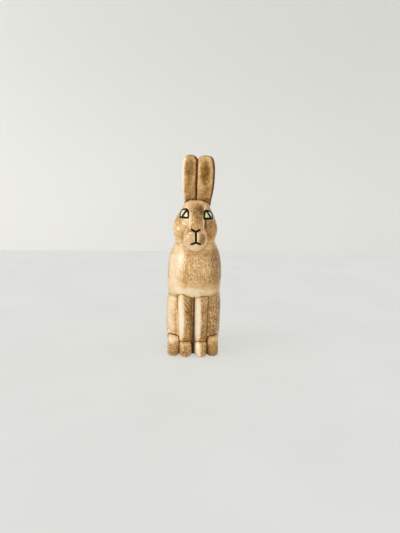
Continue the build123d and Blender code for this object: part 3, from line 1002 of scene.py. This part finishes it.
def glazed_stoneware():
    """Reduction-fired stoneware under a fat cream glaze over brushed iron oxide.

    The glaze is brown where the oxide or the glaze lies thick, in pressed strokes and creases,
    and breaks to cream on rims. Its colour also holds painted shade on the sides and edges turned
    from the lamp, in creases and between the front legs, and painted light on the sides turned
    towards it, in highlight strips on the front legs and under the chest. It is glossy, with fine
    iron specks and faint crazing.
    """
    m, place = new_material(GLAZE)
    # Clouds of thick and thin glaze about 12 mm across, mottle of 3 mm and specks of 0.8 mm
    cloud = node(m, "TexNoise", {"Vector": place, "Scale": 85.0, "Detail": 2.0})
    mottle = node(m, "TexNoise", {"Vector": place, "Scale": 340.0, "Detail": 3.0, "Roughness": 0.65})
    speck = node(m, "TexNoise", {"Vector": place, "Scale": 1250.0, "Detail": 1.0})
    oxide_and_painted_light, strokes, pool_and_painted_shade, rim, thick = (
        node(m, "Attribute", {}, "Fac", attribute_name=name)
        for name in ("oxide_and_painted_light", "pressed", "pool_and_painted_shade", "rim", "olive")
    )
    # How brown the glaze is: the oxide with its painted light and shade, its clouds and mottle, then
    # strokes, creases with their painted shade, and rims, with painted light on the ears' lamp side
    amount = oxide_and_painted_light
    swing = node(m, "Math", {0: oxide_and_painted_light, 1: 0.8, 2: 0.12}, operation="MULTIPLY_ADD")
    for pattern, weight in ((cloud, 0.38), (mottle, swing)):
        about = node(m, "Math", {0: pattern, 1: 0.5}, operation="SUBTRACT")
        amount = node(m, "Math", {0: about, 1: weight, 2: amount}, operation="MULTIPLY_ADD")
    for layer, weight in ((strokes, 0.50), (pool_and_painted_shade, 0.52), (rim, -0.30)):
        amount = node(m, "Math", {0: layer, 1: weight, 2: amount}, operation="MULTIPLY_ADD")
    creams = ((0.0, "#FCEED2"), (0.18, "#F8DFBA"), (0.34, "#E2BA7F"), (0.50, "#BA8B49"))
    browns = ((0.64, "#8E6322"), (0.80, "#663E0E"), (1.0, "#3A1C06"))
    share = node(m, "Math", {0: amount, 1: 0.8}, operation="MULTIPLY")
    colour = node(m, "ValToRGB", {"Fac": share}, stops=creams + browns)
    cloudy = node(m, "Math", {0: cloud, 1: 1.2, 2: -0.02}, operation="MULTIPLY_ADD")
    olive = node(m, "Math", {0: thick, 1: cloudy}, operation="MULTIPLY")
    # Iron specks and pale pinholes, drawn at 0.8 mm because the real ones are too fine to show
    dark = node(m, "MapRange", {"Value": speck, 1: 0.66, 2: 0.74, 4: 0.45})
    pale = node(m, "MapRange", {"Value": speck, 1: 0.36, 2: 0.27, 4: 0.40})
    # Crazing in cells of about 5 mm
    craze = node(m, "TexVoronoi", {"Vector": place, "Scale": 190.0}, feature="DISTANCE_TO_EDGE")
    crack = node(m, "MapRange", {"Value": craze, 1: 0.035, 2: 0.0, 4: 0.16})
    for layer, code in ((olive, "#6E4E12"), (dark, "#7A5228"), (pale, "#F4E4C4"), (crack, "#8A6236")):
        colour = node(m, "Mix", {0: layer, 6: colour, 7: linear(code)}, 2, data_type="RGBA")
    gloss = node(m, "MapRange", {"Value": mottle, 1: 0.3, 2: 0.7, 3: 0.14, 4: 0.26})
    fine = node(m, "Math", {0: speck, 1: 0.25}, operation="MULTIPLY")
    height = node(m, "Math", {0: mottle, 1: 0.6, 2: fine}, operation="MULTIPLY_ADD")
    bump = node(m, "Bump", {"Height": height, "Strength": 0.18, "Distance": 0.0003})
    # Where the glaze pools, and where shade is painted on far edges, it is dull with crystals, so the
    # creases stay dark
    crystals = node(m, "Math", {0: thick, 1: 0.8}, operation="MULTIPLY")
    dull = node(m, "Math", {0: pool_and_painted_shade, 1: crystals}, operation="MAXIMUM")
    shine = node(m, "MapRange", {"Value": dull, 1: 0.2, 2: 1.0, 3: 0.45, 4: 0.08})
    looks = {"Base Color": colour, "Roughness": gloss, "IOR": 1.52, "Normal": bump}
    looks["Specular IOR Level"] = shine
    node(m, "OutputMaterial", {"Surface": node(m, "BsdfPrincipled", looks)})
    return m


def bare_stoneware():
    """Unglazed stoneware fired buff: dry and gritty, with darker grog grains of about 1 mm."""
    m, place = new_material(BARE)
    cloud = node(m, "TexNoise", {"Vector": place, "Scale": 110.0, "Detail": 4.0})
    grog = node(m, "TexNoise", {"Vector": place, "Scale": 1000.0, "Detail": 1.0})
    patchy = node(m, "Math", {0: cloud, 1: 0.6}, operation="MULTIPLY")
    share = node(m, "Math", {0: grog, 1: 0.5, 2: patchy}, operation="MULTIPLY_ADD")
    buffs = ((0.3, "#CDA77C"), (0.55, "#B98F64"), (0.75, "#8C6540"))
    colour = node(m, "ValToRGB", {"Fac": share}, stops=buffs)
    bump = node(m, "Bump", {"Height": grog, "Strength": 0.6, "Distance": 0.0003})
    looks = {"Base Color": colour, "Roughness": 0.82, "IOR": 1.5, "Normal": bump}
    node(m, "OutputMaterial", {"Surface": node(m, "BsdfPrincipled", looks)})
    return m


def black_line():
    """Iron-manganese black glaze, laid on with a fine brush: near black, browner where thin."""
    m, place = new_material(BLACK)
    drag = node(m, "TexNoise", {"Vector": place, "Scale": 700.0, "Detail": 2.0})
    blacks = ((0.3, "#080403"), (0.6, "#100805"), (0.8, "#2A180A"))
    colour = node(m, "ValToRGB", {"Fac": drag}, stops=blacks)
    bump = node(m, "Bump", {"Height": drag, "Strength": 0.2, "Distance": 0.0002})
    looks = {"Base Color": colour, "Roughness": 0.45, "IOR": 1.52, "Normal": bump}
    looks["Specular IOR Level"] = 0.08
    node(m, "OutputMaterial", {"Surface": node(m, "BsdfPrincipled", looks)})
    return m


def pale_eye():
    """Opaque tin-white eye glaze: yellow-green on the nose side of the pupil, off-white outside."""
    m, place = new_material(PALE)
    cloud = node(m, "TexNoise", {"Vector": place, "Scale": 420.0, "Detail": 2.0})
    inner = node(m, "ValToRGB", {"Fac": cloud}, stops=((0.3, "#C9C780"), (0.7, "#E9E6B4")))
    outer = node(m, "ValToRGB", {"Fac": cloud}, stops=((0.3, "#CFD0C6"), (0.7, "#F1F1E8")))
    side = node(m, "Attribute", {}, "Fac", attribute_name="outer")
    colour = node(m, "Mix", {0: side, 6: inner, 7: outer}, 2, data_type="RGBA")
    looks = {"Base Color": colour, "Roughness": 0.14, "IOR": 1.52}
    node(m, "OutputMaterial", {"Surface": node(m, "BsdfPrincipled", looks)})
    return m


LOOKS = {GLAZE: glazed_stoneware(), BARE: bare_stoneware(), BLACK: black_line(), PALE: pale_eye()}

# The rabbit

piece("glazed_torso", torso_mesh("glazed_torso"), ["torso_shell"], GLAZE)

# Form, or kind of form on both sides, the levels that it covers, its row pitch and its way round
CLAY = (
    ("skull", 113, 157.7, 0.52, 120),
    ("muzzle", 106, 132.5, 0.5, 95),
    ("bridge", 126.5, 157.5, 0.45, 50),
    ("cheek", 110, 149, 0.52, 86),
    ("left_ear", 150, 203.4, 0.5, 46),
    ("right_ear", 150, 203.8, 0.5, 46),
    ("left_haunch", 8.1, 67, 0.56, 140),
    ("right_haunch", 8.1, 62.5, 0.56, 140),
    ("hind_foot", -2.4, 20, 0.45, 110),
    ("foreleg", 11, 68, 0.5, 50),
    ("forepaw", -2, 15.6, 0.42, 54),
)
# The nodes whose forms have another name here
OTHER_NAMES = {"skull": "head_shell", "bridge": "nose_bridge"}
for form, low, high, pitch, around in CLAY:
    for own in [form] if form in FORMS else [f"left_{form}", f"right_{form}"]:
        stands_for = OTHER_NAMES.get(own, own)
        label = f"glazed_{stands_for.replace('_shell', '')}"
        mesh = clay_mesh(label, own, spread_levels(low, high, pitch), around)
        piece(label, mesh, [stands_for], GLAZE)


def tail_mesh(name):
    """The round tail: a ball, drawn onto the common skin where it leaves the back."""
    columns = round(104 / COARSE)
    turn = 2 * np.pi * np.arange(columns) / columns
    tilt = np.linspace(0, np.pi, round(52 / COARSE))
    wide, deep = np.sin(tilt)[:, None], -np.cos(tilt)[:, None]
    ball = np.broadcast_arrays(wide * np.cos(turn), deep, wide * np.sin(turn))
    rows = (TAIL_CENTRE + TAIL_RADIUS * np.stack(ball, -1)) @ STANCE
    points, _, margins = settle(rows.reshape(-1, 3), ["tail"])
    marks, _ = glaze_marks(points, ["tail"], margins)
    marks["pressed"] = np.zeros(len(points))
    return grid_mesh(name, points.reshape(rows.shape), marks)


piece("glazed_tail", tail_mesh("glazed_tail"), ["tail"], GLAZE)

for name, side in (("left", 1), ("right", -1)):
    label = f"painted_{name}_eye"
    piece(label, eye_pad(label, side), [f"{name}_eye_white"], PALE)
    label = f"painted_{name}_eye_outline"
    line = stroke_rows(eye_contour(side, LINE_INSET, 110), EYES[side][7], 0.5, closed=True)
    piece(label, ring_mesh(label, line), [f"{name}_eye_outline"], BLACK)
    label = f"painted_{name}_pupil"
    line = stroke_rows(sampled(pupil_line(side), 30), 3.1, 1.0)
    piece(label, grid_mesh(label, line), [f"{name}_pupil"], BLACK)

NOSE_LOW, MOUTH_TOP = (0.7, 127.3), (1.1, 117.5)
NOSE_WINGS = [(-4.6, 130.2), (-2.0, 128.9), NOSE_LOW, (3.0, 128.9), (5.3, 130.0)]
MOUTH = [(-4.6, 115.2), (-1.8, 116.1), MOUTH_TOP, (3.8, 116.2), (6.3, 115.5)]
LINE_HEIGHT = 0.45
wings = stroke_rows(sampled(NOSE_WINGS, 40), 2.25, LINE_HEIGHT)
drop = stroke_rows(sampled([NOSE_LOW, MOUTH_TOP], 24), 2.2, LINE_HEIGHT)
nose = two_strokes_mesh("painted_nose", wings, drop)
piece("painted_nose", nose, ["nose_line"], BLACK)
mouth = grid_mesh("painted_mouth", stroke_rows(sampled(MOUTH, 40), 2.1, LINE_HEIGHT))
piece("painted_mouth", mouth, ["mouth_line"], BLACK)

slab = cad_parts["base_slab"]
slab.data.materials.clear()
slab.data.materials.append(LOOKS[BARE])

# Table, wall, light and camera


def sheet(name, corners, material):
    """A flat four-cornered ground, which isn't part of the object."""
    mesh = bpy.data.meshes.new(name)
    mesh.from_pydata(corners, [], [(0, 1, 2, 3)])
    made = bpy.data.objects.new(name, mesh)
    bpy.context.scene.collection.objects.link(made)
    made.data.materials.append(material)
    made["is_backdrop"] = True


def painted(name, first, second, scale, shaded_top=None, even=0.0):
    """Matt white paint with a faint unevenness, and on a wall painted shade that darkens it slowly
    towards its top.

    An even share of the colour is seen whatever the light, so that the shadow on it is faint.
    """
    m, place = new_material(name)
    cloud = node(m, "TexNoise", {"Vector": place, "Scale": scale, "Detail": 3.0})
    colour = node(m, "ValToRGB", {"Fac": cloud}, stops=((0.35, first), (0.65, second)))
    # Painted shade: the wall darkens towards its top
    if shaded_top:
        level = node(m, "SeparateXYZ", {"Vector": place}, "Z")
        rise = node(m, "MapRange", {"Value": level, 1: 0.05, 2: 0.75}, interpolation_type="SMOOTHSTEP")
        colour = node(m, "Mix", {0: rise, 6: colour, 7: linear(shaded_top)}, 2, data_type="RGBA")
    lit = node(m, "BsdfPrincipled", {"Base Color": colour, "Roughness": 0.6})
    flat = node(m, "Emission", {"Color": colour})
    camera_ray = node(m, "LightPath", {}, "Is Camera Ray")
    glossy_ray = node(m, "LightPath", {}, "Is Glossy Ray")
    seen = node(m, "Math", {0: camera_ray, 1: glossy_ray}, operation="MAXIMUM")
    share = node(m, "Math", {0: seen, 1: even}, operation="MULTIPLY")
    node(m, "OutputMaterial", {"Surface": node(m, "MixShader", {0: share, 1: lit, 2: flat})})
    return m


WALL_Y = 0.852
sheet(
    "table_top",
    [(-3, -3, 0), (3, -3, 0), (3, WALL_Y, 0), (-3, WALL_Y, 0)],
    painted("white_table", "#DEDFDB", "#E1E2DE", 9.0, even=0.70),
)
sheet(
    "wall",
    [(-3, WALL_Y, 0), (3, WALL_Y, 0), (3, WALL_Y, 3), (-3, WALL_Y, 3)],
    painted("white_wall", "#E9E9E8", "#EBEBEA", 3.0, "#DADBD9"),
)

world = bpy.data.worlds.new("room")
bpy.context.scene.world = world
world.use_nodes = True
ROOM_COLOUR, ROOM_STRENGTH = "#F7F6F4", 1.05
sky = world.node_tree.nodes["Background"].inputs
sky["Color"].default_value = linear(ROOM_COLOUR)
sky["Strength"].default_value = ROOM_STRENGTH


def aim(spot, target):
    """A placement at a spot whose -Z looks at the target, with +Y up."""
    spot, target = np.array(spot, float), np.array(target, float)
    back = spot - target
    back /= np.linalg.norm(back)
    right = np.cross([0, 0, 1], back)
    right /= np.linalg.norm(right)
    up = np.cross(back, right)
    placed = np.eye(4)
    placed[:3] = np.stack([right, up, back, spot], -1)
    return Matrix(placed.tolist())


def lamp(name, spot, target, size, watts, colour, glint=False):
    """An area lamp. A glint is seen in the glaze alone, like the bright panes of the window."""
    data = bpy.data.lights.new(name, "AREA")
    data.shape = "RECTANGLE"
    data.size, data.size_y = size
    data.energy = watts
    data.color = linear(colour)[:3]
    made = bpy.data.objects.new(name, data)
    made.matrix_world = aim(spot, target)
    made.visible_diffuse = not glint
    bpy.context.scene.collection.objects.link(made)


MIDDLE = (0, 0, 0.1)
WINDOW, PANES = (-2.1, -0.56, 1.1), (-2.15, -0.52, 1.25)
lamp("window", WINDOW, MIDDLE, (1.6, 1.8), 14.5, "#FFFDF8")
lamp("window_panes", PANES, MIDDLE, (0.9, 1.15), 25.0, "#FFF6EE", glint=True)

CAMERA = (-0.0043, -0.450, 0.1594)
HEADING = math.radians(1.5)
PITCH = math.radians(9.0)
ROLL = math.radians(0.5)
# The focal length and the picture's long side, both in pixels, and the sensor's in millimetres
FOCAL_PIXELS, LONG_SIDE, SENSOR = 430.0, 533.0, 36.0
ahead = np.array(
    [math.sin(HEADING) * math.cos(PITCH), math.cos(HEADING) * math.cos(PITCH), -math.sin(PITCH)]
)
camera_data = bpy.data.cameras.new("camera")
camera_data.sensor_width = SENSOR
camera_data.lens = FOCAL_PIXELS / LONG_SIDE * SENSOR
camera = bpy.data.objects.new("camera", camera_data)
camera.matrix_world = aim(CAMERA, CAMERA + ahead) @ Matrix.Rotation(ROLL, 4, "Z")
bpy.context.scene.collection.objects.link(camera)
bpy.context.scene.camera = camera
bpy.context.scene.view_settings.view_transform = "Standard"

low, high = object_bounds()
